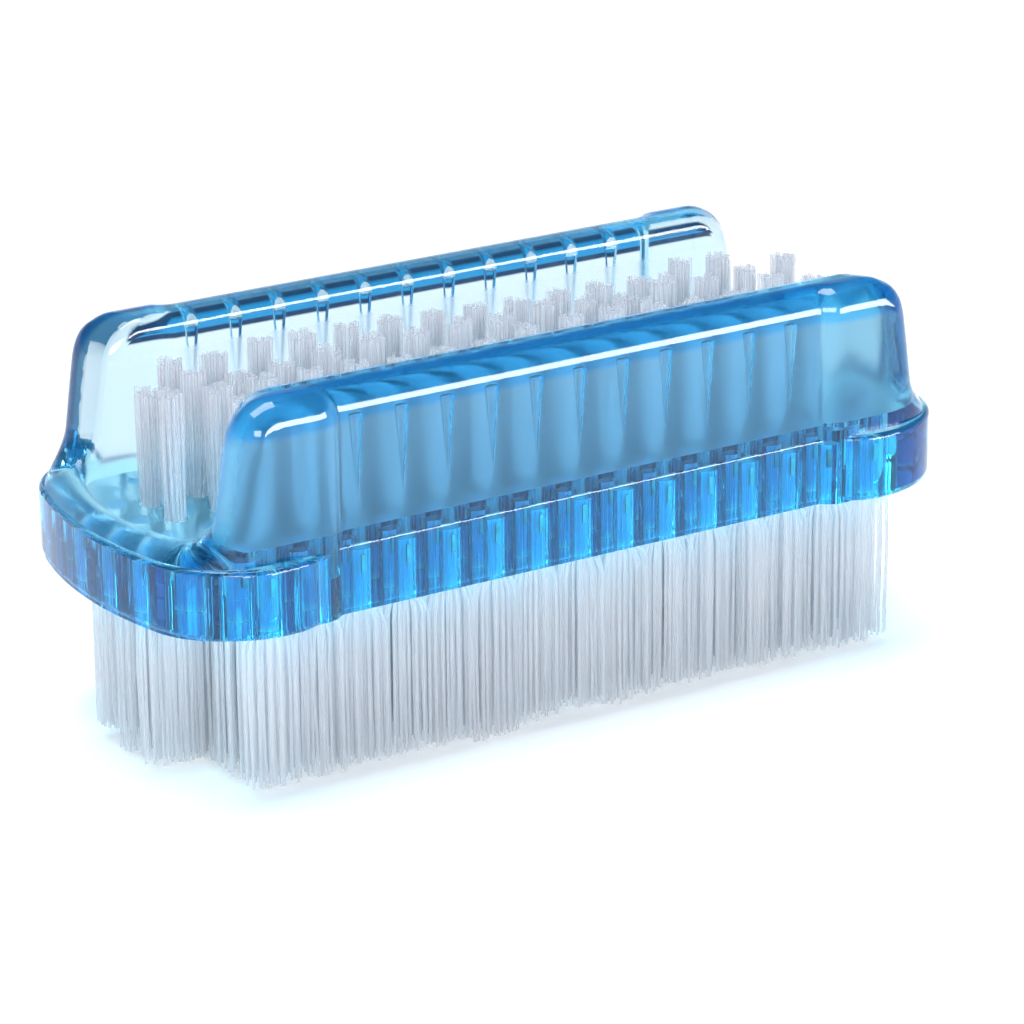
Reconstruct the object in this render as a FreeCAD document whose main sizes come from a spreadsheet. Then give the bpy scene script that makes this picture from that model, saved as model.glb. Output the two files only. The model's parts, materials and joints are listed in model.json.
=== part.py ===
import FreeCAD, Part
import math
import os
import Sketcher
from FreeCAD import Vector
from typing import NamedTuple

# Driving dimensions, millimetres and degrees.
# X runs along the brush, Y across it and Z up, from the tips of the long bristles.
SIZES = {
    "body_length": 88.9,
    "body_width": 38.1,
    "bristle_length": 16.5,
    "slab_height": 6.8,
    "slab_edge_round": 0.5,
    "slab_foot_round": 0.8,
    "waist_depth": 2.25,
    "waist_radius": 6.1,
    "corner_radius": 10.0,
    "end_radius": 45.0,
    "lobe_flat": 0.5,
    "rim_height": 1.4,
    "rim_thickness": 3.65,
    "rim_inset": 0.15,
    "rail_height": 14.8,
    "rail_inset": 0.1,
    "rail_thickness": 5.2,
    "rail_step": 1.0,
    "rail_step_radius": 1.0,
    "rail_lobe_radius": 2.8,
    "rail_lobe_flat": 5.6,
    "rail_corner_radius": 8.6,
    "rail_setback": 2.9,
    "rail_lean": 9.0,
    "rail_skew": 34.0,
    "rail_top_radius": 5.0,
    "rail_foot_radius": 3.5,
    "outer_round": 2.7,
    "inner_round": 1.6,
    "channel_corner_radius": 3.0,
    "channel_end_radius": 30.0,
    "groove_count": 11,
    "groove_lead": 1.5,
    "groove_width": 1.5,
    "groove_length": 8.0,
    "hole_diameter": 2.3,
    "lower_floor": 1.2,
    "upper_floor": 1.8,
    "side_wall": 1.25,
    "end_wall": 4.9,
    "lower_rows": 7,
    "long_rows": 3,
    "long_row_tufts": 17,
    "end_step": 1,
    "upper_rows": 4,
    "upper_bristle_length": 12.6,
    "lower_spread": 3.3,
    "upper_spread": 2.8,
    "tuft_clearance": 0.02,
    "anchor_thickness": 0.4,
    "anchor_height": 1.8,
    "anchor_seat": 0.5,
}

# Heights and spacings that follow from the driving dimensions.
SLAB_TOP = "(sizes.bristle_length + sizes.slab_height)"
RIM_TOP = f"({SLAB_TOP} + sizes.rim_height)"
RAIL_TOP = f"({SLAB_TOP} + sizes.rail_height)"
SHOULDER = f"({RAIL_TOP} - sizes.outer_round)"
HALF_LENGTH = "sizes.body_length / 2"
HALF_WAIST = "(sizes.body_width / 2 - sizes.waist_depth)"
RAIL_FACE = f"({HALF_WAIST} - sizes.rail_inset)"
RAIL_BACK = f"({RAIL_FACE} - sizes.rail_thickness)"
BEYOND = f"({HALF_LENGTH} + sizes.body_width)"
ABOVE = f"({RAIL_TOP} + sizes.rim_thickness)"
COLUMN_PITCH = "((sizes.body_length - 2 * sizes.end_wall - sizes.hole_diameter) / (sizes.long_row_tufts - 1))"
ROW_PITCH = f"((2 * {HALF_WAIST} - 2 * sizes.side_wall - sizes.hole_diameter) / (sizes.lower_rows - 1))"
TUFT_RADIUS = "(sizes.hole_diameter / 2 - sizes.tuft_clearance)"

# Ends of a sketch edge, the centre of an arc, and the sketch's own axes.
START, FINISH, CENTRE = range(1, 4)
X_AXIS, Y_AXIS = range(-1, -3, -1)
ORIGIN = (X_AXIS, START)
QUARTER, HALF, THREE_QUARTERS = math.pi / 2, math.pi, 1.5 * math.pi

doc = FreeCAD.newDocument("nail_brush")
sheet = doc.addObject("Spreadsheet::Sheet", "sizes")
for row, (alias, value) in enumerate(SIZES.items(), start=1):
    sheet.set(f"A{row}", alias)
    sheet.set(f"B{row}", str(value))
    sheet.setAlias(f"B{row}", alias)
doc.recompute()


def number(expression):
    """Return what an expression on the sheet comes to."""
    return float(sheet.evalExpression(expression))


def count(alias):
    """Return a whole number from the sheet."""
    return int(round(number(f"sizes.{alias}")))


def origin_item(body, role):
    """Return one of a body's own origin planes or axes, found by its role."""
    return next(item for item in body.Origin.OriginFeatures if item.Role == role)


def new_body(label):
    """Add an empty body whose label also names its file."""
    body = doc.addObject("PartDesign::Body", label)
    body.Label = label
    return body


def new_sketch(body, name, role, **offsets):
    """Add a sketch on an origin plane of the body, moved along its own axes by expressions."""
    sketch = body.newObject("Sketcher::SketchObject", name)
    sketch.AttachmentSupport = [(origin_item(body, role), "")]
    sketch.MapMode = "FlatFace"
    for axis, expression in offsets.items():
        sketch.setExpression(f"AttachmentOffset.Base.{axis}", expression)
    return sketch


def new_feature(body, kind, name, profile=None, **expressions):
    """Add a feature to a body, with its sketch and with its sizes tied to the sheet."""
    feature = body.newObject(f"PartDesign::{kind}", name)
    if profile is not None:
        feature.Profile = profile
    for size, expression in expressions.items():
        feature.setExpression(size, expression)
    return feature


def line(sketch, start, end):
    """Add a straight edge to a sketch."""
    return sketch.addGeometry(Part.LineSegment(Vector(*start, 0), Vector(*end, 0)))


def arc(sketch, centre, radius, from_angle, to_angle):
    """Add an arc to a sketch, drawn counter-clockwise between two angles in radians."""
    circle = Part.Circle(Vector(*centre, 0), Vector(0, 0, 1), radius)
    return sketch.addGeometry(Part.ArcOfCircle(circle, from_angle, to_angle))


def rule(sketch, kind, *places):
    """Add a constraint without a size to a sketch."""
    sketch.addConstraint(Sketcher.Constraint(kind, *places))


def bind(sketch, name, expression, kind, *places):
    """Add a dimension to a sketch and tie it to the sheet."""
    index = sketch.addConstraint(Sketcher.Constraint(kind, *places, number(expression)))
    sketch.renameConstraint(index, name)
    sketch.setExpression(f"Constraints.{name}", expression)


def outline_marks(outline):
    """Work out where the arcs of a plan outline meet, from the end of the brush inwards."""
    sizes = {name: number(expression) for name, expression in outline.items()}
    sizes["end_x"] = sizes["half_length"] - sizes["end"]
    reach = sizes["end"] - sizes["corner"]
    sizes["drop"] = sizes["half_width"] - sizes["corner"]
    sizes["corner_x"] = sizes["end_x"] + math.sqrt(reach**2 - sizes["drop"] ** 2)
    sizes["turn"] = math.asin(sizes["drop"] / reach)
    if "waist" in outline:
        radii = sizes["hollow"] + sizes["swell"]
        sizes["bend"] = math.acos(1 - (sizes["half_width"] - sizes["waist"]) / radii)
        sizes["swell_x"] = sizes["corner_x"] - sizes["flat"]
        sizes["waist_x"] = sizes["swell_x"] - radii * math.sin(sizes["bend"])
    return sizes


def draw_outline(sketch, outline):
    """Draw the +X +Y quarter of a plan outline, with every size tied to the sheet.

    The side turns through a corner arc into a shallow end arc. An outline with a waist
    steps in through a hollow and a swelling arc before it reaches the middle of the brush.
    """
    at = outline_marks(outline)
    side_y, side_x = at["half_width"], at["corner_x"]
    if "waist" in outline:
        side_y, side_x = at["waist"], at["waist_x"]
    middle = line(sketch, (0, 0), (0, side_y))
    side = line(sketch, (0, side_y), (side_x, side_y))
    corner = arc(sketch, (at["corner_x"], at["drop"]), at["corner"], at["turn"], QUARTER)
    end = arc(sketch, (at["end_x"], 0), at["end"], 0, at["turn"])
    base = line(sketch, (at["half_length"], 0), (0, 0))
    rule(sketch, "Coincident", middle, START, *ORIGIN)
    rule(sketch, "PointOnObject", middle, FINISH, Y_AXIS)
    rule(sketch, "Coincident", middle, FINISH, side, START)
    rule(sketch, "Horizontal", side)
    rule(sketch, "Coincident", base, FINISH, *ORIGIN)
    rule(sketch, "PointOnObject", base, START, X_AXIS)
    rule(sketch, "Coincident", end, START, base, START)
    rule(sketch, "PointOnObject", end, CENTRE, X_AXIS)
    rule(sketch, "Tangent", corner, START, end, FINISH)
    flank = side
    if "waist" in outline:
        flank = draw_step(sketch, outline, at, side)
        bind(sketch, "waist", outline["waist"], "DistanceY", *ORIGIN, middle, FINISH)
    rule(sketch, "Tangent", flank, FINISH, corner, FINISH)
    bind(sketch, "corner", outline["corner"], "Radius", corner)
    bind(sketch, "end", outline["end"], "Radius", end)
    bind(sketch, "half_width", outline["half_width"], "DistanceY", *ORIGIN, flank, FINISH)
    bind(sketch, "half_length", outline["half_length"], "DistanceX", *ORIGIN, base, START)


def draw_step(sketch, outline, at, side):
    """Step a plan outline out from its waist to its widest part and return that last edge."""
    hollow_y = at["waist"] + at["hollow"]
    swell_y = at["half_width"] - at["swell"]
    hollow = arc(sketch, (at["waist_x"], hollow_y), at["hollow"], THREE_QUARTERS, THREE_QUARTERS + at["bend"])
    swell = arc(sketch, (at["swell_x"], swell_y), at["swell"], QUARTER, QUARTER + at["bend"])
    flank = line(sketch, (at["swell_x"], at["half_width"]), (at["corner_x"], at["half_width"]))
    rule(sketch, "Tangent", side, FINISH, hollow, START)
    rule(sketch, "Tangent", hollow, FINISH, swell, FINISH)
    rule(sketch, "Tangent", swell, START, flank, START)
    rule(sketch, "Horizontal", flank)
    bind(sketch, "hollow", outline["hollow"], "Radius", hollow)
    bind(sketch, "swell", outline["swell"], "Radius", swell)
    bind(sketch, "flat", outline["flat"], "DistanceX", flank, START, flank, FINISH)
    return flank


SLAB_OUTLINE = {
    "half_length": HALF_LENGTH,
    "half_width": "sizes.body_width / 2",
    "waist": HALF_WAIST,
    "hollow": "sizes.waist_radius",
    "swell": "sizes.waist_radius",
    "flat": "sizes.lobe_flat",
    "corner": "sizes.corner_radius",
    "end": "sizes.end_radius",
}
RING_OUTLINE = {
    "half_length": f"{HALF_LENGTH} - sizes.rim_inset",
    "half_width": f"{RAIL_FACE} + sizes.rail_step",
    "waist": RAIL_FACE,
    "hollow": "sizes.rail_step_radius",
    "swell": "sizes.rail_lobe_radius",
    "flat": "sizes.rail_lobe_flat",
    "corner": "sizes.rail_corner_radius",
    "end": "sizes.end_radius - sizes.rim_inset",
}
CHANNEL_OUTLINE = {
    "half_length": f"{HALF_LENGTH} - sizes.rim_inset - sizes.rim_thickness",
    "half_width": RAIL_BACK,
    "corner": "sizes.channel_corner_radius",
    "end": "sizes.channel_end_radius",
}


def draw_end_profile(sketch):
    """Draw what is cut away at the end of a rail, seen from the side in the middle of the rail.

    From the rim the rail rises through a hollow foot, leans inwards and rounds over into its top.
    """
    lean = math.radians(number("sizes.rail_lean"))
    foot_radius, top_radius = number("sizes.rail_foot_radius"), number("sizes.rail_top_radius")
    rim_top, rail_top = number(RIM_TOP), number(RAIL_TOP)
    toe_x = number(f"{HALF_LENGTH} - sizes.rail_setback")
    outward = Vector(math.cos(lean), math.sin(lean), 0)
    upward = Vector(-math.sin(lean), math.cos(lean), 0)
    foot_centre = Vector(toe_x, rim_top + foot_radius, 0)
    foot_end = foot_centre - outward * foot_radius
    rise = (rail_top - top_radius - foot_end.y + top_radius * math.sin(lean)) / math.cos(lean)
    lean_end = foot_end + upward * rise
    top_centre = lean_end - outward * top_radius
    beyond, above = number(BEYOND), number(ABOVE)

    foot = arc(sketch, (foot_centre.x, foot_centre.y), foot_radius, HALF + lean, THREE_QUARTERS)
    face = line(sketch, (foot_end.x, foot_end.y), (lean_end.x, lean_end.y))
    crown = arc(sketch, (top_centre.x, top_centre.y), top_radius, lean, QUARTER)
    rise_line = line(sketch, (top_centre.x, rail_top), (top_centre.x, above))
    lid = line(sketch, (top_centre.x, above), (beyond, above))
    outer = line(sketch, (beyond, above), (beyond, rim_top))
    rim = line(sketch, (beyond, rim_top), (toe_x, rim_top))
    rule(sketch, "Tangent", face, START, foot, START)
    rule(sketch, "Tangent", face, FINISH, crown, START)
    rule(sketch, "Tangent", rim, FINISH, foot, FINISH)
    rule(sketch, "Coincident", crown, FINISH, rise_line, START)
    rule(sketch, "Vertical", crown, CENTRE, crown, FINISH)
    rule(sketch, "Coincident", rise_line, FINISH, lid, START)
    rule(sketch, "Coincident", lid, FINISH, outer, START)
    rule(sketch, "Coincident", outer, FINISH, rim, START)
    rule(sketch, "Vertical", rise_line)
    rule(sketch, "Horizontal", lid)
    rule(sketch, "Vertical", outer)
    rule(sketch, "Horizontal", rim)
    bind(sketch, "foot", "sizes.rail_foot_radius", "Radius", foot)
    bind(sketch, "crown", "sizes.rail_top_radius", "Radius", crown)
    bind(sketch, "toe", f"{HALF_LENGTH} - sizes.rail_setback", "DistanceX", *ORIGIN, rim, FINISH)
    bind(sketch, "rim_top", RIM_TOP, "DistanceY", *ORIGIN, rim, FINISH)
    bind(sketch, "rail_top", RAIL_TOP, "DistanceY", *ORIGIN, crown, FINISH)
    bind(sketch, "beyond", BEYOND, "DistanceX", *ORIGIN, outer, START)
    bind(sketch, "above", ABOVE, "DistanceY", *ORIGIN, outer, START)
    index = sketch.addConstraint(Sketcher.Constraint("Angle", face, QUARTER + lean))
    sketch.renameConstraint(index, "lean")
    sketch.setExpression("Constraints.lean", "90 deg + sizes.rail_lean * 1 deg")


def edge_at(feature, height, across):
    """Return the name of the edge that starts in the middle of the brush at a height and a half width."""
    for place, edge in enumerate(feature.Shape.Edges, start=1):
        middle = edge.CenterOfMass
        if abs(middle.z - height) < 1e-4 and abs(middle.y - across) < 1e-4:
            return f"Edge{place}"
    raise ValueError(f"no edge {across} mm out at {height} mm")


def round_edge(body, base, name, height, across, radius):
    """Round a smooth run of edges, found by the edge that it starts with."""
    doc.recompute()
    seed = edge_at(base, number(height), number(across))
    fillet = new_feature(body, "Fillet", name, Radius=radius)
    fillet.Base = (base, [seed])
    doc.recompute()
    return fillet


def make_slab():
    """Make a quarter of the waisted slab that holds the tufts."""
    body = new_body("slab_quarter")
    plan = new_sketch(body, "SlabPlan", "XY_Plane", z="sizes.bristle_length")
    draw_outline(plan, SLAB_OUTLINE)
    slab = new_feature(body, "Pad", "Slab", plan, Length="sizes.slab_height")
    top = round_edge(body, slab, "SlabEdge", SLAB_TOP, HALF_WAIST, "sizes.slab_edge_round")
    round_edge(body, top, "SlabFoot", "sizes.bristle_length", HALF_WAIST, "sizes.slab_foot_round")
    return body


def make_ring(body):
    """Make a quarter of the rim and of the rails that stand on it."""
    plan = new_sketch(body, "RingPlan", "XY_Plane", z="sizes.bristle_length")
    draw_outline(plan, RING_OUTLINE)
    new_feature(body, "Pad", "Ring", plan, Length=f"{RAIL_TOP} - sizes.bristle_length")
    channel = new_sketch(body, "ChannelPlan", "XY_Plane", z=RAIL_TOP)
    draw_outline(channel, CHANNEL_OUTLINE)
    cut = new_feature(body, "Pocket", "Channel", channel)
    cut.Type = "ThroughAll"
    profile = new_sketch(body, "EndProfile", "XZ_Plane", z=f"sizes.rail_thickness / 2 - {RAIL_FACE}")
    draw_end_profile(profile)
    ends = new_feature(body, "Pocket", "RailEnds", profile, Length="2 * sizes.body_width")
    ends.SideType = "Symmetric"
    ends.UseCustomVector = True
    ends.Direction = Vector(0, 1, 0)
    ends.setExpression("Direction.x", "tan(sizes.rail_skew * 1 deg)")
    outer = round_edge(body, ends, "OuterRound", RAIL_TOP, RAIL_FACE, "sizes.outer_round")
    round_edge(body, outer, "InnerRound", RAIL_TOP, RAIL_BACK, "sizes.inner_round")


def mirror(body, name, role):
    """Double the whole body over one of its origin planes."""
    double = body.newObject("PartDesign::Mirrored", name)
    double.MirrorPlane = (origin_item(body, role), [""])
    double.TransformMode = "Whole shape"
    body.Tip = double
    doc.recompute()


def repeat_along(body, name, originals, pitch, occurrences):
    """Repeat features along the brush, or the whole body where no feature is named."""
    pattern = body.newObject("PartDesign::LinearPattern", name)
    pattern.Direction = (origin_item(body, "X_Axis"), [""])
    pattern.TransformMode = "Features" if originals else "Whole shape"
    pattern.Originals = originals
    body.Tip = pattern
    pattern.Occurrences = occurrences
    pattern.setExpression("Length", f"{pitch} * {occurrences - 1}")
    doc.recompute()


def cut_grooves(body):
    """Cut a row of tapering finger grooves into the outer face of the rail."""
    grip = 2 * outline_marks(RING_OUTLINE)["waist_x"]
    grooves = count("groove_count")
    cone = new_feature(
        body, "SubtractiveCone", "Groove", Radius2="sizes.groove_width / 2", Height="sizes.groove_length"
    )
    cone.AttachmentSupport = [(origin_item(body, "XY_Plane"), "")]
    cone.MapMode = "FlatFace"
    cone.Radius1 = 0
    cone.setExpression("AttachmentOffset.Base.x", f"sizes.groove_lead - {grip / 2}")
    cone.setExpression("AttachmentOffset.Base.y", RAIL_FACE)
    cone.setExpression("AttachmentOffset.Base.z", f"{SHOULDER} - sizes.groove_length")
    doc.recompute()
    repeat_along(body, "Grooves", [cone], grip / grooves, grooves)


class TuftRow(NamedTuple):
    """One straight row of tufts: its side, its place among the rows, and its number of tufts."""

    side: str
    index: int
    offset: float
    tufts: int

    @property
    def across(self):
        """Return the expression of how far the row lies from the middle of the brush."""
        return f"({self.offset} * {ROW_PITCH})"

    @property
    def first(self):
        """Return the expression of where the first tuft lies along the brush."""
        return f"({(1 - self.tufts) / 2} * {COLUMN_PITCH})"


def rows_of(side, rows, long_rows, long_tufts):
    """List the rows of one side: the middle ones run furthest, the others step in at both ends."""
    short_tufts = long_tufts - 2 * count("end_step")
    listed = []
    for index in range(rows):
        offset = index - (rows - 1) / 2
        reaches = abs(offset) <= (long_rows - 1) / 2
        listed.append(TuftRow(side, index + 1, offset, long_tufts if reaches else short_tufts))
    return listed


# The upper rows stand between the lower ones, so their holes pass each other in the slab.
SIDES = {
    "bottom": {
        "rows": rows_of("bottom", count("lower_rows"), count("long_rows"), count("long_row_tufts")),
        "mouth": "sizes.bristle_length",
        "seat": f"({SLAB_TOP} - sizes.lower_floor)",
        "tip": "0",
        "spread": "sizes.lower_spread",
        "depth": "sizes.slab_height - sizes.lower_floor",
        "anchor": f"({SLAB_TOP} - sizes.lower_floor - sizes.anchor_seat - sizes.anchor_height)",
    },
    "top": {
        "rows": rows_of("top", count("upper_rows"), count("long_rows") - 1, count("long_row_tufts") - 1),
        "mouth": SLAB_TOP,
        "seat": "(sizes.bristle_length + sizes.upper_floor)",
        "tip": f"({SLAB_TOP} + sizes.upper_bristle_length)",
        "spread": "sizes.upper_spread",
        "depth": "sizes.slab_height - sizes.upper_floor",
        "anchor": "(sizes.bristle_length + sizes.upper_floor + sizes.anchor_seat)",
    },
}


def cut_holes(body, side):
    """Drill the blind tuft holes of one side, row lengths of a kind together."""
    face = SIDES[side]
    for tufts in sorted({row.tufts for row in face["rows"]}):
        rows = [row for row in face["rows"] if row.tufts == tufts]
        plan = new_sketch(body, f"{side}_holes_{tufts}", "XY_Plane", z=face["mouth"])
        for row in rows:
            place = Vector(number(row.first), number(row.across), 0)
            circle = Part.Circle(place, Vector(0, 0, 1), number("sizes.hole_diameter / 2"))
            hole = plan.addGeometry(circle)
            bind(plan, f"bore_{row.index}", "sizes.hole_diameter", "Diameter", hole)
            bind(plan, f"first_{row.index}", f"-{row.first}", "DistanceX", hole, CENTRE, *ORIGIN)
            if row.offset > 0:
                bind(plan, f"across_{row.index}", row.across, "DistanceY", *ORIGIN, hole, CENTRE)
            elif row.offset < 0:
                bind(plan, f"across_{row.index}", f"-{row.across}", "DistanceY", hole, CENTRE, *ORIGIN)
            else:
                rule(plan, "PointOnObject", hole, CENTRE, X_AXIS)
        drill = new_feature(body, "Pocket", f"{side}_drill_{tufts}", plan, Length=face["depth"])
        drill.Reversed = side == "bottom"
        doc.recompute()
        repeat_along(body, f"{side}_drilled_{tufts}", [drill], COLUMN_PITCH, tufts)


def draw_box(sketch, width, depth):
    """Draw a rectangle about the sketch origin, its width along X and its depth along Y."""
    x, y = number(width) / 2, number(depth) / 2
    corners = [(-x, -y), (x, -y), (x, y), (-x, y)]
    sides = [line(sketch, start, end) for start, end in zip(corners, corners[1:] + corners[:1])]
    for place, side in enumerate(sides):
        rule(sketch, "Coincident", side, FINISH, sides[(place + 1) % len(sides)], START)
        rule(sketch, "Vertical" if place % 2 else "Horizontal", side)
    rule(sketch, "Symmetric", sides[0], START, sides[1], FINISH, *ORIGIN)
    bind(sketch, "width", width, "DistanceX", sides[0], START, sides[0], FINISH)
    bind(sketch, "depth", depth, "DistanceY", sides[1], START, sides[1], FINISH)


def make_tufts(row):
    """Make one row of bristle tufts, each slotted for the anchor that it is folded over."""
    face = SIDES[row.side]
    body = new_body(f"{row.side}_tuft_row_{row.index}")
    profile = new_sketch(body, f"{body.Label}_profile", "XZ_Plane", x=row.first, z=f"-{row.across}")
    inward = "-" if row.side == "bottom" else "+"
    reach = f"{face['spread']} / 2"
    bed = f"({face['seat']} {inward} sizes.tuft_clearance)"
    radius, cut, root = number(TUFT_RADIUS), number(face["tip"]), number(bed)
    points = [(0, cut), (number(reach), cut), (radius, number(face["mouth"])), (radius, root), (0, root)]
    edges = [line(profile, start, end) for start, end in zip(points, points[1:] + points[:1])]
    for place, edge in enumerate(edges):
        rule(profile, "Coincident", edge, FINISH, edges[(place + 1) % len(edges)], START)
    tip, flare, neck, seat, axis = edges
    for level in (tip, seat):
        rule(profile, "Horizontal", level)
    rule(profile, "Vertical", neck)
    rule(profile, "PointOnObject", axis, START, Y_AXIS)
    rule(profile, "PointOnObject", axis, FINISH, Y_AXIS)
    bind(profile, "spread", reach, "DistanceX", *ORIGIN, flare, START)
    bind(profile, "neck", TUFT_RADIUS, "DistanceX", *ORIGIN, neck, START)
    bind(profile, "mouth", face["mouth"], "DistanceY", *ORIGIN, neck, START)
    bind(profile, "seat", bed, "DistanceY", *ORIGIN, seat, FINISH)
    if row.side == "bottom":
        rule(profile, "PointOnObject", tip, FINISH, X_AXIS)
    else:
        bind(profile, "tip", face["tip"], "DistanceY", *ORIGIN, tip, FINISH)
    tuft = new_feature(body, "Revolution", f"{body.Label}_bundle", profile)
    tuft.ReferenceAxis = (profile, ["V_Axis"])
    tuft.Angle = 360
    plan = new_sketch(
        body, f"{body.Label}_slot", "XY_Plane", x=row.first, y=row.across,
        z=f"{face['anchor']} - sizes.tuft_clearance",
    )
    draw_box(plan, "sizes.anchor_thickness + 2 * sizes.tuft_clearance", "2 * sizes.hole_diameter")
    slot = new_feature(
        body, "Pocket", f"{body.Label}_slotted", plan, Length="sizes.anchor_height + 2 * sizes.tuft_clearance"
    )
    slot.Reversed = True
    doc.recompute()
    repeat_along(body, f"{body.Label}_repeat", [], COLUMN_PITCH, row.tufts)
    return body


def make_anchors(row):
    """Make the flat metal anchors that hold one row of tufts down in their holes."""
    face = SIDES[row.side]
    body = new_body(f"{row.side}_anchor_row_{row.index}")
    plan = new_sketch(
        body, f"{body.Label}_plan", "XY_Plane", x=row.first, y=row.across, z=face["anchor"]
    )
    chord = "2 * sqrt((sizes.hole_diameter / 2) ^ 2 - (sizes.anchor_thickness / 2) ^ 2)"
    draw_box(plan, "sizes.anchor_thickness", f"{chord} - 2 * sizes.tuft_clearance")
    new_feature(body, "Pad", f"{body.Label}_plate", plan, Length="sizes.anchor_height")
    doc.recompute()
    repeat_along(body, f"{body.Label}_repeat", [], COLUMN_PITCH, row.tufts)
    return body


def make_brush_body():
    """Make the moulded body: ring on slab, doubled both ways, grooved and drilled from both sides."""
    body = new_body("brush_body")
    make_ring(body)
    joined = body.newObject("PartDesign::Boolean", "RingOnSlab")
    joined.Type = "Fuse"
    joined.setObjects([make_slab()])
    doc.recompute()
    mirror(body, "BothEnds", "YZ_Plane")
    cut_grooves(body)
    mirror(body, "BothSides", "XZ_Plane")
    for side in SIDES:
        cut_holes(body, side)
    return body


def check_and_write(bodies):
    """Stop on any broken object, then write each sub-part to a file of its own."""
    doc.recompute()
    for item in doc.Objects:
        if {"Invalid", "Error"} & set(item.State):
            raise RuntimeError(f"{item.Name} failed: {item.State}")
    os.makedirs("parts", exist_ok=True)
    for body in bodies:
        if body.Shape.isNull() or not body.Shape.isValid():
            raise RuntimeError(f"{body.Label} has no valid shape")
        body.Shape.exportStep(f"parts/{body.Label}.step")
        print(f"{body.Label}: {len(body.Shape.Solids)} solids, {body.Shape.Volume:.1f} mm3")


pieces = [make_brush_body()]
for side in SIDES.values():
    pieces += [make_tufts(row) for row in side["rows"]]
    pieces += [make_anchors(row) for row in side["rows"]]
check_and_write(pieces)
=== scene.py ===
"""Looks of a two-sided nail brush: clear blue body, nylon tufts, metal anchors, white floor."""

import json
import logging
import math
from dataclasses import dataclass, field
from enum import Enum
from typing import Any

import bpy
import numpy as np
from mathutils import Matrix, Vector

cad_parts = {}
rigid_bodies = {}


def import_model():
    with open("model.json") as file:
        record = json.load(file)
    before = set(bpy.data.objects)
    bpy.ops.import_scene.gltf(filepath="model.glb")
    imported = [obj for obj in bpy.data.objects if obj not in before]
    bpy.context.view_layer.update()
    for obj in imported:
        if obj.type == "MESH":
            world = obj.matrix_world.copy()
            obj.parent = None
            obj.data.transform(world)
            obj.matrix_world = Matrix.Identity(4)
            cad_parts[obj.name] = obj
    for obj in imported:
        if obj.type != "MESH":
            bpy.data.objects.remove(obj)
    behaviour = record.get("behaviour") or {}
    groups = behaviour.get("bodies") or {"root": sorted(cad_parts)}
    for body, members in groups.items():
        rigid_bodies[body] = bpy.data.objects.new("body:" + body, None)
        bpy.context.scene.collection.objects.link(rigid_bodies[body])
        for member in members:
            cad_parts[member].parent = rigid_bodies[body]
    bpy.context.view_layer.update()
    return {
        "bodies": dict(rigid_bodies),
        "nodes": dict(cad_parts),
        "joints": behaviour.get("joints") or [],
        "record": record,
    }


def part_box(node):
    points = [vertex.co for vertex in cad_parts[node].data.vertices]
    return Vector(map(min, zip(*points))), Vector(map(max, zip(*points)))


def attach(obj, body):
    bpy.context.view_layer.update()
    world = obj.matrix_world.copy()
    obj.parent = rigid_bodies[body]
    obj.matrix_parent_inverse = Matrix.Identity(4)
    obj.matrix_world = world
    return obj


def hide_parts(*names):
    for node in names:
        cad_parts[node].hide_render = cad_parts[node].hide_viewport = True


log = logging.getLogger("nail_brush")

MM = 0.001
ROOT_BODY = "root"
START_OBJECTS = ("Cube", "Light", "Camera")
FULL_TURN = 2 * math.pi
GOLDEN_ANGLE = math.pi * (3.0 - math.sqrt(5.0))

Colour = tuple[float, float, float]
Frame = dict[str, Any]
Node = bpy.types.Node
Socket = bpy.types.NodeSocket
Tree = bpy.types.NodeTree

WHITE: Colour = (1.0, 1.0, 1.0)


class Face(Enum):
    """The two bristled faces of the brush, by the name that their rows start with."""

    BOTTOM = "bottom"
    TOP = "top"


def rgba(colour: Colour) -> tuple[float, float, float, float]:
    """Return a colour with full opacity."""
    return (*colour, 1.0)


def feed(tree: Tree, value: Socket | Colour | float, socket: Socket) -> None:
    """Give a socket its value.

    Args:
        tree: The node tree of the socket.
        value: Another socket to link from, or a colour or number to set.
        socket: The socket that gets the value.
    """
    if isinstance(value, bpy.types.NodeSocket):
        tree.links.new(value, socket)
    elif isinstance(value, tuple):
        socket.default_value = rgba(value)
    else:
        socket.default_value = value


def calculate(tree: Tree, operation: str, *values: Socket | float) -> Socket:
    """Work out a value from others.

    Args:
        tree: The node tree that gets the node.
        operation: The Math node's operation.
        values: The other values.

    Returns:
        The socket with the value.
    """
    node = tree.nodes.new("ShaderNodeMath")
    node.operation = operation
    for value, socket in zip(values, node.inputs):
        feed(tree, value, socket)
    return node.outputs["Value"]


def ramp(
    tree: Tree,
    value: Socket,
    start: Socket | float = 0.0,
    full: Socket | float = 1.0,
    low: Socket | float = 0.0,
    high: Socket | float = 1.0,
    interpolation: str = "LINEAR",
) -> Socket:
    """Turn a value into one that runs from low to high.

    Args:
        tree: The node tree that gets the node.
        value: The socket with the value to follow.
        start: The value at which the result is low.
        full: The value at which the result is high, on either side of the start.
        low: The result before the start.
        high: The result beyond the full value.
        interpolation: The Map Range node's interpolation.

    Returns:
        The socket with the result.
    """
    node = tree.nodes.new("ShaderNodeMapRange")
    node.interpolation_type = interpolation
    tree.links.new(value, node.inputs["Value"])
    for name, end in (("From Min", start), ("From Max", full), ("To Min", low), ("To Max", high)):
        feed(tree, end, node.inputs[name])
    return node.outputs["Result"]


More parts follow.
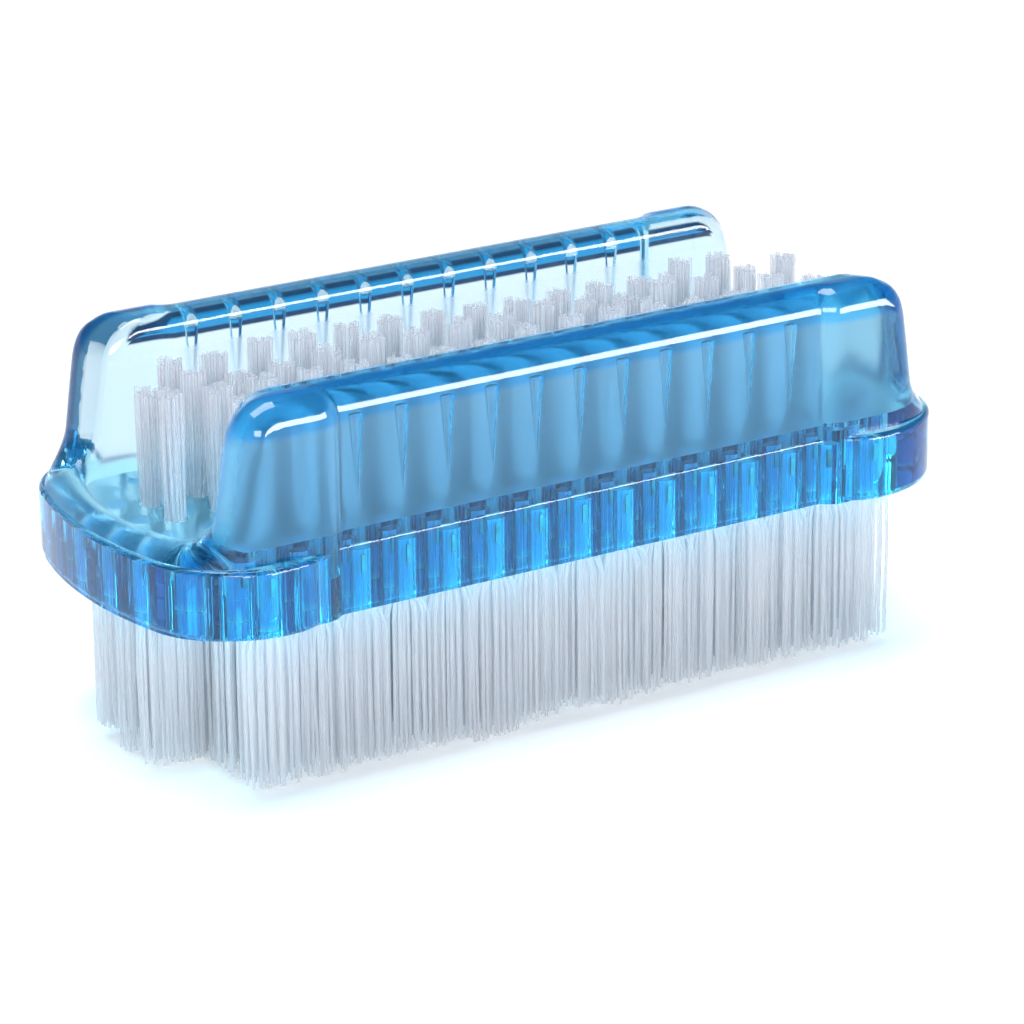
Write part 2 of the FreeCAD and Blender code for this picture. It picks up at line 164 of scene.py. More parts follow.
def blend(tree: Tree, factor: Socket, first: Socket | Colour, second: Socket | Colour) -> Socket:
    """Mix two colours.

    Args:
        tree: The node tree that gets the node.
        factor: A socket that is 0 for the first colour and 1 for the second.
        first: The first colour.
        second: The second colour.

    Returns:
        The socket with the mixed colour.
    """
    mix = tree.nodes.new("ShaderNodeMix")
    mix.data_type = "RGBA"
    tree.links.new(factor, mix.inputs["Factor"])
    feed(tree, first, mix.inputs["A"])
    feed(tree, second, mix.inputs["B"])
    return mix.outputs["Result"]


def combine(tree: Tree, factor: Socket | float, first: Node, second: Node) -> Socket:
    """Mix two shaders.

    Args:
        tree: The node tree that gets the node.
        factor: The share of the second shader.
        first: The first shader's node.
        second: The second shader's node.

    Returns:
        The socket with the mixed shader.
    """
    mix = tree.nodes.new("ShaderNodeMixShader")
    feed(tree, factor, mix.inputs["Fac"])
    tree.links.new(first.outputs["BSDF"], mix.inputs[1])
    tree.links.new(second.outputs["BSDF"], mix.inputs[2])
    return mix.outputs["Shader"]


def new_material(name: str) -> tuple[bpy.types.Material, Node, Node]:
    """Make an empty node material.

    Args:
        name: The material's name.

    Returns:
        The material, its Principled BSDF and its output node, joined to each other.
    """
    material = bpy.data.materials.new(name)
    material.use_nodes = True
    nodes = material.node_tree.nodes
    nodes.clear()
    output = nodes.new("ShaderNodeOutputMaterial")
    shader = nodes.new("ShaderNodeBsdfPrincipled")
    material.node_tree.links.new(shader.outputs["BSDF"], output.inputs["Surface"])
    return material, shader, output


class SharedEffect:
    """A node group that materials share, with numbers going in and masks or values coming out."""

    NAME: str
    INPUTS: tuple[str, ...]
    OUTPUTS: tuple[str, ...]

    @classmethod
    def wire(
        cls, group: Tree, inputs: bpy.types.NodeOutputs, outputs: bpy.types.NodeInputs
    ) -> None:
        """Join the group's inputs to its outputs.

        Args:
            group: The group's node tree.
            inputs: The sockets that bring the numbers in.
            outputs: The sockets that take the results out.
        """
        raise NotImplementedError

    @classmethod
    def tree(cls) -> Tree:
        """Find the group, or build it the first time.

        Returns:
            The group's node tree.
        """
        if cls.NAME in bpy.data.node_groups:
            return bpy.data.node_groups[cls.NAME]
        group = bpy.data.node_groups.new(cls.NAME, "ShaderNodeTree")
        for way, names in (("INPUT", cls.INPUTS), ("OUTPUT", cls.OUTPUTS)):
            for name in names:
                group.interface.new_socket(name, in_out=way, socket_type="NodeSocketFloat")
        inputs = group.nodes.new("NodeGroupInput").outputs
        outputs = group.nodes.new("NodeGroupOutput").inputs
        cls.wire(group, inputs, outputs)
        return group

    @classmethod
    def place(cls, tree: Tree, *values: float) -> Node:
        """Put the group into a material.

        Args:
            tree: The material's node tree.
            values: The numbers that go in, in the order of the group's inputs.

        Returns:
            The group node.
        """
        node = tree.nodes.new("ShaderNodeGroup")
        node.node_tree = cls.tree()
        for name, value in zip(cls.INPUTS, values):
            node.inputs[name].default_value = value
        return node


class FineGrain(SharedEffect):
    """Fine mottle over a surface, for gloss and colour that vary a little.

    Scale is in mottles per metre. Value runs from Low in the dark mottles to High in the light.
    """

    NAME = "fine_grain"
    INPUTS = ("Scale", "Low", "High")
    OUTPUTS = ("Mask", "Value")
    DETAIL = 4.0
    DARKEST = 0.3
    LIGHTEST = 0.7

    @classmethod
    def wire(
        cls, group: Tree, inputs: bpy.types.NodeOutputs, outputs: bpy.types.NodeInputs
    ) -> None:
        """Spread a noise between the low and the high value.

        Args:
            group: The group's node tree.
            inputs: The sockets that bring the numbers in.
            outputs: The sockets that take the results out.
        """
        place = group.nodes.new("ShaderNodeTexCoord")
        noise = group.nodes.new("ShaderNodeTexNoise")
        noise.inputs["Detail"].default_value = cls.DETAIL
        group.links.new(place.outputs["Object"], noise.inputs["Vector"])
        group.links.new(inputs["Scale"], noise.inputs["Scale"])
        mask = noise.outputs["Fac"]
        value = ramp(group, mask, cls.DARKEST, cls.LIGHTEST, inputs["Low"], inputs["High"])
        group.links.new(mask, outputs["Mask"])
        group.links.new(value, outputs["Value"])


class Zone(SharedEffect):
    """Zone of the brush, 0 before its start and 1 from where it is full, by place.

    Along and Across are measured from the middle of the brush to either side, Up from the floor.
    """

    NAME = "zone"
    INPUTS = ("Start", "Full")
    OUTPUTS = ("Along", "Across", "Up")

    @classmethod
    def wire(
        cls, group: Tree, inputs: bpy.types.NodeOutputs, outputs: bpy.types.NodeInputs
    ) -> None:
        """Ramp the place along each axis.

        Args:
            group: The group's node tree.
            inputs: The sockets that bring the numbers in.
            outputs: The sockets that take the results out.
        """
        place = group.nodes.new("ShaderNodeTexCoord")
        apart = group.nodes.new("ShaderNodeSeparateXYZ")
        group.links.new(place.outputs["Object"], apart.inputs["Vector"])
        along, across = (calculate(group, "ABSOLUTE", apart.outputs[axis]) for axis in "XY")
        for name, distance in zip(cls.OUTPUTS, (along, across, apart.outputs["Z"])):
            mask = ramp(group, distance, inputs["Start"], inputs["Full"])
            group.links.new(mask, outputs[name])


@dataclass(frozen=True)
class ClearPlastic:
    """Clear moulded plastic whose tint deepens with its thickness, frosted inside the rails.

    Edges are measured across from the middle and ends along from the middle, the other places are
    heights over the floor, all in metres. The entry colours tint what is seen into the outer walls.
    What is seen out through the rails' shoulders gets a painted shade band over a painted dark
    shadow line, and what is seen into the shoulders from outside gets a painted shade too.
    """

    name: str = "clear_blue_plastic"
    slab_entry: Colour = (0.006, 0.52, 0.82)
    rail_entry: Colour = (0.09, 0.28, 0.43)
    slab_surface: Colour = (0.40, 0.92, 1.0)
    rail_surface: Colour = (0.98, 0.99, 1.0)
    # Painted shade: dark blues and a near-black shadow line laid on the rails' shoulders by place.
    shoulder_painted_shade_in: Colour = (0.01, 0.22, 0.55)
    shoulder_painted_shade_out: Colour = (0.001, 0.12, 0.45)
    shadow_line: Colour = (0.0002, 0.003, 0.02)
    lit_through: Colour = (0.78, 0.94, 1.0)
    slab_top: float = 22.6 * MM
    rail_foot: float = 23.2 * MM
    frost_edge: float = 11.7 * MM
    clear_edge: float = 12.4 * MM
    top_edge: float = 13.9 * MM
    outer_edge: float = 14.6 * MM
    hole_edge: float = 15.8 * MM
    wall_edge: float = 16.4 * MM
    hole_end: float = 40.0 * MM
    wall_end: float = 41.0 * MM
    frost_top: float = 34.4 * MM
    clear_top: float = 35.0 * MM
    shoulder_foot: float = 34.6 * MM
    shoulder_full: float = 35.2 * MM
    line_foot: float = 34.4 * MM
    line_full: float = 34.6 * MM
    line_top: float = 35.0 * MM
    band_foot: float = 35.15 * MM
    band_fade: float = 35.9 * MM
    band_top: float = 36.2 * MM
    frost: float = 0.3
    tint: Colour = (0.40, 0.82, 0.96)
    density: float = 85.0
    refraction: float = 1.5
    smooth: float = 0.012
    dull: float = 0.035
    grain: float = 160.0

    def material(self) -> bpy.types.Material:
        """Make the material: glass-like faces, lit through, over an absorbing volume.

        Returns:
            The material.
        """
        material, shader, output = new_material(self.name)
        tree = material.node_tree
        above = Zone.place(tree, self.slab_top, self.rail_foot).outputs["Up"]
        tree.links.new(self.surface(tree, above), shader.inputs["Base Color"])
        tree.links.new(self.gloss(tree, above), shader.inputs["Roughness"])
        shader.inputs["IOR"].default_value = self.refraction
        shader.inputs["Transmission Weight"].default_value = 1.0
        lit_through = tree.nodes.new("ShaderNodeBsdfTransparent")
        lit_through.inputs["Color"].default_value = rgba(self.lit_through)
        shadow = tree.nodes.new("ShaderNodeLightPath").outputs["Is Shadow Ray"]
        faces = combine(tree, shadow, shader, lit_through)
        tree.links.new(faces, output.inputs["Surface"])
        depth = tree.nodes.new("ShaderNodeVolumeAbsorption")
        depth.inputs["Color"].default_value = rgba(self.tint)
        depth.inputs["Density"].default_value = self.density
        tree.links.new(depth.outputs["Volume"], output.inputs["Volume"])
        return material

    def surface(self, tree: Tree, above: Socket) -> Socket:
        """Tint the surface, deeper on the slab and where light enters through an outer wall, with
        painted shade on the rails' shoulders.

        Args:
            tree: The material's node tree.
            above: A socket that is 0 on the slab and 1 on the rails.

        Returns:
            The socket with the colour.
        """
        rail_side = Zone.place(tree, self.top_edge, self.outer_edge).outputs["Across"]
        slab_side = Zone.place(tree, self.hole_edge, self.wall_edge).outputs["Across"]
        slab_end = Zone.place(tree, self.hole_end, self.wall_end).outputs["Along"]
        slab_wall = calculate(tree, "MAXIMUM", slab_side, slab_end)
        outer = ramp(tree, above, low=slab_wall, high=rail_side)
        plain = blend(tree, above, self.slab_surface, self.rail_surface)
        entry = blend(tree, above, self.slab_entry, self.rail_entry)
        entered = blend(tree, outer, plain, entry)
        # Painted shade on the rails' shoulders, for what is seen into them from outside.
        high = Zone.place(tree, self.shoulder_foot, self.shoulder_full).outputs["Up"]
        shoulder = calculate(tree, "MULTIPLY", high, rail_side)
        seen_in_with_painted_shade = blend(tree, shoulder, entered, self.shoulder_painted_shade_in)
        seen_out_with_painted_shade = self.paint_shoulder_shade(tree, rail_side, plain)
        leaving = tree.nodes.new("ShaderNodeNewGeometry").outputs["Backfacing"]
        return blend(tree, leaving, seen_in_with_painted_shade, seen_out_with_painted_shade)

    def paint_shoulder_shade(self, tree: Tree, rail_side: Socket, plain: Socket) -> Socket:
        """Paint a band of shade, over a painted dark shadow line, on what is seen out through the
        shoulders of the rails.

        Args:
            tree: The material's node tree.
            rail_side: A socket that is 1 on the outer side of the rails.
            plain: The socket with the colour elsewhere.

        Returns:
            The socket with the colour.
        """
        # Painted shade: a dark band over a near-black line, by height on the rails' outer side.
        started = Zone.place(tree, self.line_foot, self.line_full).outputs["Up"]
        unfaded = Zone.place(tree, self.band_top, self.band_fade).outputs["Up"]
        level = calculate(tree, "MULTIPLY", started, unfaded)
        band = calculate(tree, "MULTIPLY", level, rail_side)
        over_line = Zone.place(tree, self.line_top, self.band_foot).outputs["Up"]
        turned = blend(tree, over_line, self.shadow_line, self.shoulder_painted_shade_out)
        return blend(tree, band, plain, turned)

    def gloss(self, tree: Tree, above: Socket) -> Socket:
        """Polish the surface with a fine mottle and frost the faces between the rails.

        Args:
            tree: The material's node tree.
            above: A socket that is 0 on the slab and 1 on the rails.

        Returns:
            The socket with the roughness.
        """
        inside = Zone.place(tree, self.clear_edge, self.frost_edge).outputs["Across"]
        low = Zone.place(tree, self.clear_top, self.frost_top).outputs["Up"]
        between = calculate(tree, "MULTIPLY", above, inside)
        frosted = calculate(tree, "MULTIPLY", between, low)
        grain = FineGrain.place(tree, self.grain, self.smooth, self.dull)
        return ramp(tree, frosted, low=grain.outputs["Value"], high=self.frost)


@dataclass(frozen=True)
class NylonFilament:
    """Clear nylon bristle that light soaks through, each filament of its own tone.

    The colour runs from the root colour at the root shade height to the filament's own at the shade
    clear height; the root colour is painted shade and painted blue light from the body near the
    holes. The colour darkens to the edge colour, a painted edge shade, where the filament turns
    from view. Cover is how much the skin hides of what lies behind it, in its middle and at its
    edge.
    Soak is the share of light that goes on through the nylon.
    """

    name: str
    light: Colour
    # Painted edge shade, where the filament turns from view.
    dark: Colour
    edge: Colour
    # Painted shade and painted blue light from the body, near the root.
    root: Colour
    root_shade_height: float
    shade_clear_height: float
    edge_width: float
    cover: float
    edge_cover: float
    soak: float
    smooth: float = 0.12
    dull: float = 0.24
    grain: float = 900.0
    refraction: float = 1.4

    def material(self) -> bpy.types.Material:
        """Make the material: a see-through glossy skin over nylon that scatters light onwards.

        Returns:
            The material.
        """
        material, shader, output = new_material(self.name)
        tree = material.node_tree
        rim = tree.nodes.new("ShaderNodeLayerWeight")
        rim.inputs["Blend"].default_value = self.edge_width
        facing = rim.outputs["Facing"]
        colour = self.colour(tree)
        # Painted edge shade: the colour darkens to the edge colour where the filament turns from
        # view.
        tree.links.new(blend(tree, facing, colour, self.edge), shader.inputs["Base Color"])
        cover = ramp(tree, facing, low=self.cover, high=self.edge_cover)
        tree.links.new(cover, shader.inputs["Alpha"])
        grain = FineGrain.place(tree, self.grain, self.smooth, self.dull)
        tree.links.new(grain.outputs["Value"], shader.inputs["Roughness"])
        shader.inputs["IOR"].default_value = self.refraction
        soaked = tree.nodes.new("ShaderNodeBsdfTranslucent")
        tree.links.new(colour, soaked.inputs["Color"])
        faces = combine(tree, self.soak, shader, soaked)
        tree.links.new(faces, output.inputs["Surface"])
        return material

    def colour(self, tree: Tree) -> Socket:
        """Colour each filament by its tone, under painted shade near the root.

        Args:
            tree: The material's node tree.

        Returns:
            The socket with the colour.
        """
        tone = tree.nodes.new("ShaderNodeAttribute")
        tone.attribute_name = BristleRow.TONE
        own = blend(tree, tone.outputs["Fac"], self.dark, self.light)
        clear = Zone.place(tree, self.root_shade_height, self.shade_clear_height).outputs["Up"]
        # Painted shade near the root, fading out by height.
        return blend(tree, clear, self.root, own)


@dataclass(frozen=True)
class AnchorMetal:
    """Dull strip metal of the tuft anchors."""

    name: str = "dull_anchor_metal"
    light: Colour = (0.46, 0.46, 0.48)
    dark: Colour = (0.24, 0.24, 0.26)
    smooth: float = 0.32
    dull: float = 0.55
    grain: float = 1500.0

    def material(self) -> bpy.types.Material:
        """Make the material, mottled in its colour and gloss.

        Returns:
            The material.
        """
        material, shader, _ = new_material(self.name)
        tree = material.node_tree
        grain = FineGrain.place(tree, self.grain, self.smooth, self.dull)
        colour = blend(tree, grain.outputs["Mask"], self.dark, self.light)
        tree.links.new(colour, shader.inputs["Base Color"])
        tree.links.new(grain.outputs["Value"], shader.inputs["Roughness"])
        shader.inputs["Metallic"].default_value = 1.0
        return material


@dataclass
class BrushBody:
    """The moulded clear body, taken from the frame as it is."""

    node: str = "brush_body"
    finish: ClearPlastic = field(default_factory=ClearPlastic)

    def dress(self, frame: Frame) -> bpy.types.Object:
        """Give the body its plastic.


        Returns:
            The body's object.
        """
        body = frame["nodes"][self.node]
        body.data.materials.clear()
        body.data.materials.append(self.finish.material())
        log.info("%s: %d faces", self.node, len(body.data.polygons))
        return body


@dataclass
class AnchorRows:
    """The flat anchors in the bottom of the tuft holes, taken from the frame as they are."""

    finish: AnchorMetal = field(default_factory=AnchorMetal)

    def dress(self, frame: Frame) -> None:
        """Give every row of anchors its metal.
        """
        metal = self.finish.material()
        for name, row in frame["nodes"].items():
            if "_anchor_row_" in name:
                row.data.materials.clear()
                row.data.materials.append(metal)
                log.info("%s: dressed", name)


@dataclass(frozen=True)
class Trim:
    """How far the cut ends of the bristles stand back from the longest one."""

    tuft: float
    clump: float
    filament: float


@dataclass(frozen=True)
class TuftStyle:
    """How the tufts of one face are made up.

    The mouth is the height at which the holes open. The reach is how far a tuft spreads at its
    tip, along and across. Gather draws each clump together, and a tuft with more flare spreads
    nearer to its hole. The fill is 0 where a tuft stays round and 1 where it fills a square.
    """

    mouth: float
    trim: Trim
    reach: tuple[float, float]
    filaments: int
    filament: float
    gather: float
    flare: float
    fill: float


@dataclass
class BristleRow:
    """One row of tufts, each a bundle of single filaments that part into clumps at the tip.

    A spread is the two shape numbers of a beta distribution. The stations are the places of a
    filament's rings between the mouth of its hole and its tip.
    """

    TONE = "tone"
    TONE_SPREAD = (2.2, 1.6)
    TRIM_SPREAD = (1.1, 1.8)
    FILAMENT_TRIM_SPREAD = (1.1, 2.6)
    CLUMP_PLACES = (0.4, 0.7)
    STATIONS = (0.0, 0.04, 0.12, 0.4, 1.0)
    ANCHOR_GAP = 1.0 * MM

    face: Face
    node: str
    seed: int
    style: TuftStyle
    bore: float = 1.13 * MM
    clumps: int = 4
    stray: float = 0.06
    bow: float = 0.1 * MM
    sides: int = 5

    def centres(self, frame: Frame) -> np.ndarray:
        """Find the middle of each tuft from the anchors that lie in its hole.


        Returns:
            One (x, y) for each tuft.
        """
        anchors = frame["nodes"][self.node.replace("_tuft_", "_anchor_")].data.vertices
        along = np.sort(np.array([vertex.co.x for vertex in anchors]))
        gaps = np.flatnonzero(np.diff(along) > self.ANCHOR_GAP) + 1
        middles = np.array([group.mean() for group in np.split(along, gaps)])
        low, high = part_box(self.node)
        return np.stack([middles, np.full_like(middles, (low.y + high.y) / 2)], axis=1)

    def bundle(self, rng: np.random.Generator) -> tuple[np.ndarray, np.ndarray, np.ndarray]:
        """Place the filaments of one tuft in its hole and at its tip.

        Args:
            rng: The row's random numbers.

        Returns:
            The (x, y) offsets of each filament from the tuft's middle, in the hole and at the
            tip, and how far its end stands back.
        """
        style = self.style
        order = np.arange(style.filaments)
        turn = order * GOLDEN_ANGLE + rng.uniform(0, FULL_TURN)
        disc = np.stack([np.cos(turn), np.sin(turn)], axis=1)
        square = style.fill / np.abs(disc).max(axis=1) + 1.0 - style.fill
        disc *= np.sqrt((order + 0.5) / style.filaments)[:, None]
        heading = rng.uniform(0, FULL_TURN) + np.arange(self.clumps) * (FULL_TURN / self.clumps)
        middles = np.stack([np.cos(heading), np.sin(heading)], axis=1)
        middles = middles * rng.uniform(*self.CLUMP_PLACES, (self.clumps, 1))
        clump = np.argmin(np.linalg.norm(disc[:, None] - middles[None], axis=2), axis=1)
        sway = rng.normal(0, self.stray, (self.clumps, 2))[clump]
        tip = (disc + (middles[clump] - disc) * style.gather) * square[:, None] + sway
        tip += rng.normal(0, self.stray, tip.shape)
        back = style.trim.tuft * rng.beta(*self.TRIM_SPREAD)
        back += style.trim.clump * rng.beta(*self.TRIM_SPREAD, self.clumps)[clump]
        back += style.trim.filament * rng.beta(*self.FILAMENT_TRIM_SPREAD, style.filaments)
        return disc * (self.bore - style.filament / 2), tip * style.reach, back

    def build(self, frame: Frame, finish: bpy.types.Material) -> bpy.types.Object:
        """Make the row's filaments as one mesh and let it stand for the row's solids.

        Args:
            finish: The bristle material.

        Returns:
            The row's object.
        """
        rng = np.random.default_rng(self.seed)
        low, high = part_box(self.node)
        seat, tip = (high.z, low.z) if self.face is Face.BOTTOM else (low.z, high.z)
        bundles = []
        for centre in self.centres(frame):
            root, end, back = self.bundle(rng)
            bundles.append((root + centre, end + centre, back))
        root, end, back = (np.concatenate(parts) for parts in zip(*bundles))
        count = len(root)
        mouth = self.style.mouth
        cut = tip + math.copysign(1.0, seat - tip) * back
        bow = rng.normal(0, self.bow, (count, 2))
        rings = [np.column_stack([root, np.full(count, seat)])]
        for share in self.STATIONS:
            spread = 1.0 - (1.0 - share) ** self.style.flare
            middle = root + (end - root) * spread + bow * math.sin(math.pi * share)
            rings.append(np.column_stack([middle, mouth + (cut - mouth) * share]))
        mesh = self.tubes(np.stack(rings, axis=1), rng)
        row = bpy.data.objects.new(self.node.replace("_row_", "_filaments_"), mesh)
        bpy.context.scene.collection.objects.link(row)
        mesh.materials.append(finish)
        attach(row, ROOT_BODY)
        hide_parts(self.node)
        log.info("%s: %d filaments in %d tufts", row.name, count, len(bundles))
        return row

    def tubes(self, lines: np.ndarray, rng: np.random.Generator) -> bpy.types.Mesh:
        """Skin filament centre lines with closed tubes.

        Args:
            lines: Centre lines, as filament by station by (x, y, z).
            rng: The row's random numbers.

        Returns:
            The mesh, with a tone for each filament.
        """
        count, stations, _ = lines.shape
        sides = self.sides
        angle = np.arange(sides) * (FULL_TURN / sides) + rng.uniform(0, FULL_TURN, (count, 1))
        ring = np.stack([np.cos(angle), np.sin(angle), np.zeros_like(angle)], axis=2)
        ring = ring * (self.style.filament / 2)
        points = (lines[:, :, None, :] + ring[:, None, :, :]).reshape(-1, 3)
        step = np.arange(sides)
        ahead = (step + 1) % sides
        quads = []
        for level in range(stations - 1):
            here, there = level * sides, (level + 1) * sides
            quads.append(np.stack([here + step, here + ahead, there + ahead, there + step], axis=1))
        walls = np.concatenate(quads)
        caps = np.stack([step, (stations - 1) * sides + step])
        if lines[0, 0, 2] > lines[0, -1, 2]:
            walls = walls[:, ::-1]
            caps[1] = caps[1, ::-1]
        else:
            caps[0] = caps[0, ::-1]
        first = (np.arange(count) * stations * sides)[:, None, None]
        skins = (walls[None] + first).reshape(-1, walls.shape[1]).tolist()
        ends = (caps[None] + first).reshape(-1, sides).tolist()
        mesh = bpy.data.meshes.new(self.node)
        mesh.from_pydata(points.tolist(), [], skins + ends)
        mesh.polygons.foreach_set("use_smooth", [True] * len(skins) + [False] * len(ends))
        tone = mesh.attributes.new(self.TONE, "FLOAT", "POINT")
        tones = np.repeat(rng.beta(*self.TONE_SPREAD, count), stations * sides)
        tone.data.foreach_set("value", tones)
        mesh.update()
        return mesh


@dataclass
class Bristles:
    """All the tufts of both faces."""

    lower_finish: NylonFilament = NylonFilament(
        name="pale_nylon_bristle",
        light=(0.99, 0.99, 1.0),
        dark=(0.94, 0.96, 0.99),
        # Painted edge shade.
        edge=(0.88, 0.90, 0.96),
        # Painted shade and painted blue light from the body, inside and near the holes.
        root=(0.46, 0.78, 0.96),
        root_shade_height=17.2 * MM,
        shade_clear_height=16.2 * MM,
        edge_width=0.35,
        cover=0.12,
        edge_cover=0.55,
        soak=0.45,
    )
    upper_finish: NylonFilament = NylonFilament(
        name="clear_nylon_bristle",
        light=(0.97, 0.98, 1.0),
        dark=(0.94, 0.96, 1.0),
        # Painted edge shade, dark for the dark outlines of the clear filaments.
        edge=(0.34, 0.42, 0.59),
        # Painted shade and painted blue light from the body, down in the trough.
        root=(0.82, 0.92, 0.98),
        root_shade_height=25.0 * MM,
        shade_clear_height=33.0 * MM,
        edge_width=0.25,
        cover=0.08,
        edge_cover=0.6,
        soak=0.12,
    )
    lower_style: TuftStyle = TuftStyle(
        mouth=16.5 * MM,
        trim=Trim(tuft=0.9 * MM, clump=1.2 * MM, filament=0.25 * MM),
        reach=(2.6 * MM, 2.1 * MM),
        filaments=54,
        filament=0.27 * MM,
        gather=0.06,
        flare=30.0,
        fill=1.0,
    )
    upper_style: TuftStyle = TuftStyle(
        mouth=23.3 * MM,
        trim=Trim(tuft=1.5 * MM, clump=0.6 * MM, filament=0.6 * MM),
        reach=(1.4 * MM, 1.4 * MM),
        filaments=36,
        filament=0.32 * MM,
        gather=0.22,
        flare=5.0,
        fill=0.0,
    )

    def build(self, frame: Frame) -> None:
        """Make a piece for every row of tufts in the frame.
        """
        lower, upper = self.lower_finish.material(), self.upper_finish.material()
        finishes = {Face.BOTTOM: lower, Face.TOP: upper}
        styles = {Face.BOTTOM: self.lower_style, Face.TOP: self.upper_style}
        rows = sorted(name for name in frame["nodes"] if "_tuft_row_" in name)
        for seed, node in enumerate(rows, start=1):
            face = Face(node.split("_")[0])
            BristleRow(face, node, seed, styles[face]).build(frame, finishes[face])


@dataclass(frozen=True)
class SoftLamp:
    """A rectangular soft lamp that faces the brush, in metres and watts.

    A lamp for the gleam only shows in shiny surfaces and leaves the others as they are.
    """

    name: str
    place: tuple[float, float, float]
    width: float
    height: float
    power: float
    gleam_only: bool = False

    def build(self, target: Vector) -> None:
        """Add the lamp.

        Args:
            target: The point that it faces.
        """
        data = bpy.data.lights.new(self.name, "AREA")
        data.shape = "RECTANGLE"
        data.size = self.width
        data.size_y = self.height
        data.energy = self.power
        lamp = bpy.data.objects.new(self.name, data)
        lamp.location = self.place
        lamp.visible_diffuse = not self.gleam_only
        lamp.rotation_euler = (target - Vector(self.place)).to_track_quat("-Z", "Y").to_euler()
        bpy.context.scene.collection.objects.link(lamp)


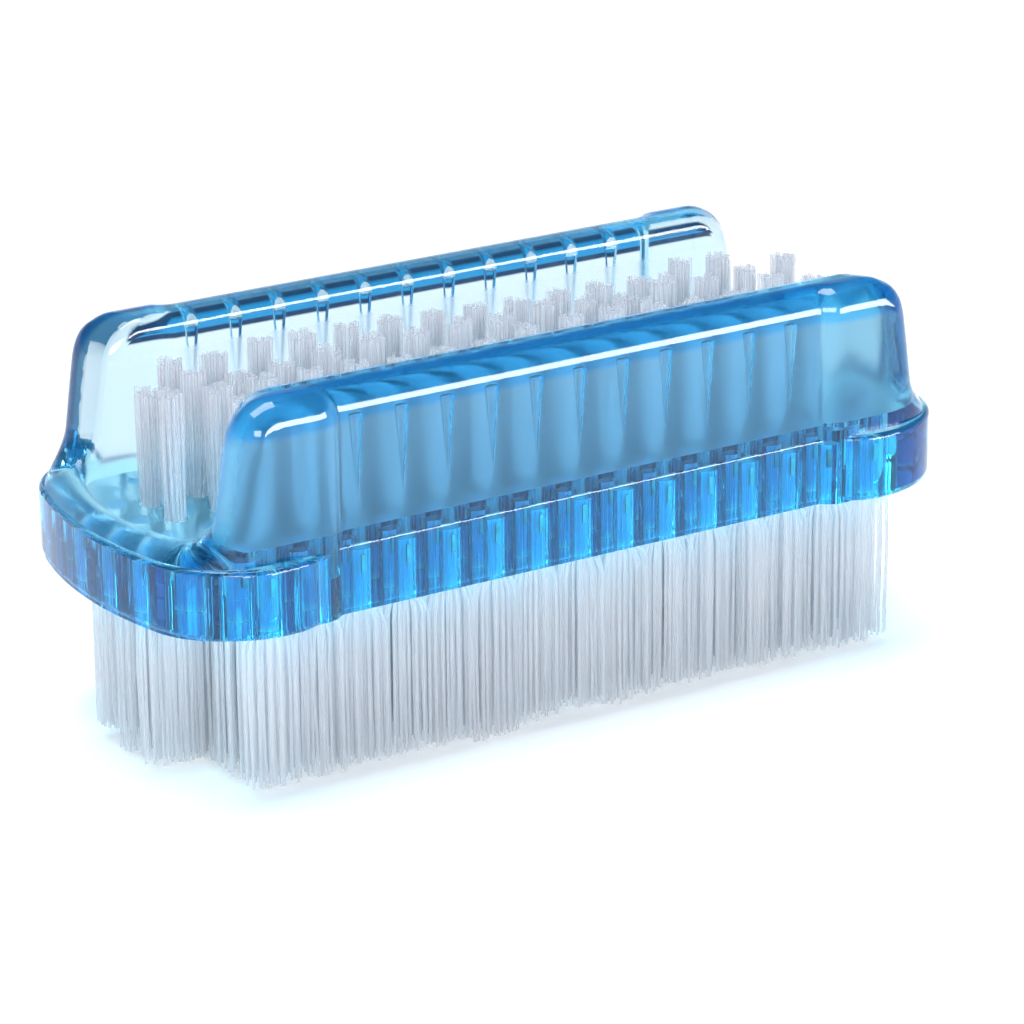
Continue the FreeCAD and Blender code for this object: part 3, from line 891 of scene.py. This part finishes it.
@dataclass
class Studio:
    """White floor, even surrounding light, three soft lamps and the camera.

    The horizon's top and the ceiling's foot are heights on a sphere of radius 1 round the scene.
    """

    floor_size: float = 6.0
    floor_colour: Colour = (0.82, 0.82, 0.82)
    floor_roughness: float = 0.9
    floor_lift: float = 0.2
    horizon: Colour = WHITE
    ceiling: Colour = (0.10, 0.13, 0.18)
    horizon_top: float = 0.08
    ceiling_foot: float = 0.4
    lens: float = 145.26
    clip_start: float = 10 * MM
    azimuth: float = math.radians(-31.975)
    elevation: float = math.radians(20.05)
    roll: float = math.radians(-0.51)
    distance: float = 400.9 * MM
    target: tuple[float, float, float] = (0.72 * MM, -1.98 * MM, 16.44 * MM)
    lamps: tuple[SoftLamp, ...] = (
        SoftLamp("overhead_softbox", (0.0, 0.1, 0.8), 0.6, 0.4, 6.0),
        SoftLamp("front_softbox", (-0.4, -0.82, 0.35), 0.6, 0.3, 7.0),
        SoftLamp("gleam_card", (0.45, -0.76, 0.18), 0.7, 0.3, 12.0, gleam_only=True),
    )

    def build(self) -> None:
        """Make the whole studio."""
        self.make_floor()
        self.make_surround()
        for lamp in self.lamps:
            lamp.build(Vector(self.target))
        self.make_camera()
        log.info("studio: ready")

    @staticmethod
    def seen(tree: Tree) -> Socket:
        """Tell the rays that show the floor from those that only carry its light.

        Args:
            tree: The node tree of the floor.

        Returns:
            A socket that is 1 for a ray from the camera, directly, mirrored or through glass.
        """
        path = tree.nodes.new("ShaderNodeLightPath")
        shown = path.outputs["Is Camera Ray"]
        for ray in ("Is Glossy Ray", "Is Transmission Ray"):
            shown = calculate(tree, "MAXIMUM", shown, path.outputs[ray])
        return shown

    def make_floor(self) -> None:
        """Make the floor, which is white to the camera and keeps the shadow."""
        half = self.floor_size / 2
        corners = [(-half, -half, 0), (half, -half, 0), (half, half, 0), (-half, half, 0)]
        mesh = bpy.data.meshes.new("floor")
        mesh.from_pydata(corners, [], [(0, 1, 2, 3)])
        floor = bpy.data.objects.new("floor", mesh)
        bpy.context.scene.collection.objects.link(floor)
        material, shader, _ = new_material("white_floor")
        tree = material.node_tree
        shader.inputs["Base Color"].default_value = rgba(self.floor_colour)
        shader.inputs["Roughness"].default_value = self.floor_roughness
        shader.inputs["Specular IOR Level"].default_value = 0.0
        lift = calculate(tree, "MULTIPLY", self.seen(tree), self.floor_lift)
        shader.inputs["Emission Color"].default_value = rgba(WHITE)
        tree.links.new(lift, shader.inputs["Emission Strength"])
        mesh.materials.append(material)

    def make_surround(self) -> None:
        """Light the scene evenly from a white horizon that fades into a dim bluish ceiling."""
        world = bpy.data.worlds.new("studio")
        bpy.context.scene.world = world
        world.use_nodes = True
        tree = world.node_tree
        tree.nodes.clear()
        output = tree.nodes.new("ShaderNodeOutputWorld")
        place = tree.nodes.new("ShaderNodeTexCoord")
        apart = tree.nodes.new("ShaderNodeSeparateXYZ")
        tree.links.new(place.outputs["Generated"], apart.inputs["Vector"])
        height = apart.outputs["Z"]
        ends = self.horizon_top, self.ceiling_foot
        fade = ramp(tree, height, *ends, interpolation="SMOOTHSTEP")
        background = tree.nodes.new("ShaderNodeBackground")
        room = blend(tree, fade, self.horizon, self.ceiling)
        tree.links.new(room, background.inputs["Color"])
        tree.links.new(background.outputs["Background"], output.inputs["Surface"])

    def make_camera(self) -> None:
        """Stand the camera at the viewing angle of the photograph."""
        data = bpy.data.cameras.new("camera")
        data.lens = self.lens
        data.clip_start = self.clip_start
        camera = bpy.data.objects.new("camera", data)
        east, north = math.cos(self.azimuth), math.sin(self.azimuth)
        flat = math.cos(self.elevation)
        right = Vector((east, north, 0.0))
        back = Vector((north * flat, -east * flat, math.sin(self.elevation)))
        turn = Matrix((right, back.cross(right), back)).transposed()
        place = Matrix.Translation(Vector(self.target) + back * self.distance)
        camera.matrix_world = place @ turn.to_4x4() @ Matrix.Rotation(self.roll, 4, "Z")
        bpy.context.scene.collection.objects.link(camera)
        bpy.context.scene.camera = camera


@dataclass(frozen=True)
class Bounces:
    """How often light may bounce on its way through the plastic and the tufts."""

    total: int = 12
    diffuse: int = 4
    glossy: int = 12
    transmission: int = 12
    transparent: int = 16

    def allow(self, scene: bpy.types.Scene) -> None:
        """Set the bounces.

        Args:
            scene: The scene that is rendered.
        """
        scene.cycles.max_bounces = self.total
        scene.cycles.diffuse_bounces = self.diffuse
        scene.cycles.glossy_bounces = self.glossy
        scene.cycles.transmission_bounces = self.transmission
        scene.cycles.transparent_max_bounces = self.transparent


def main() -> None:
    """Load the frame, dress its pieces in order and set the studio up."""
    logging.basicConfig(level=logging.INFO, format="%(name)s %(message)s")
    for name in START_OBJECTS:
        if name in bpy.data.objects:
            bpy.data.objects.remove(bpy.data.objects[name])
    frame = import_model()
    BrushBody().dress(frame)
    AnchorRows().dress(frame)
    Bristles().build(frame)
    Studio().build()
    Bounces().allow(bpy.context.scene)
    bpy.context.scene.view_settings.view_transform = "Standard"
    bpy.context.view_layer.update()


if __name__ == "__main__":
    main()
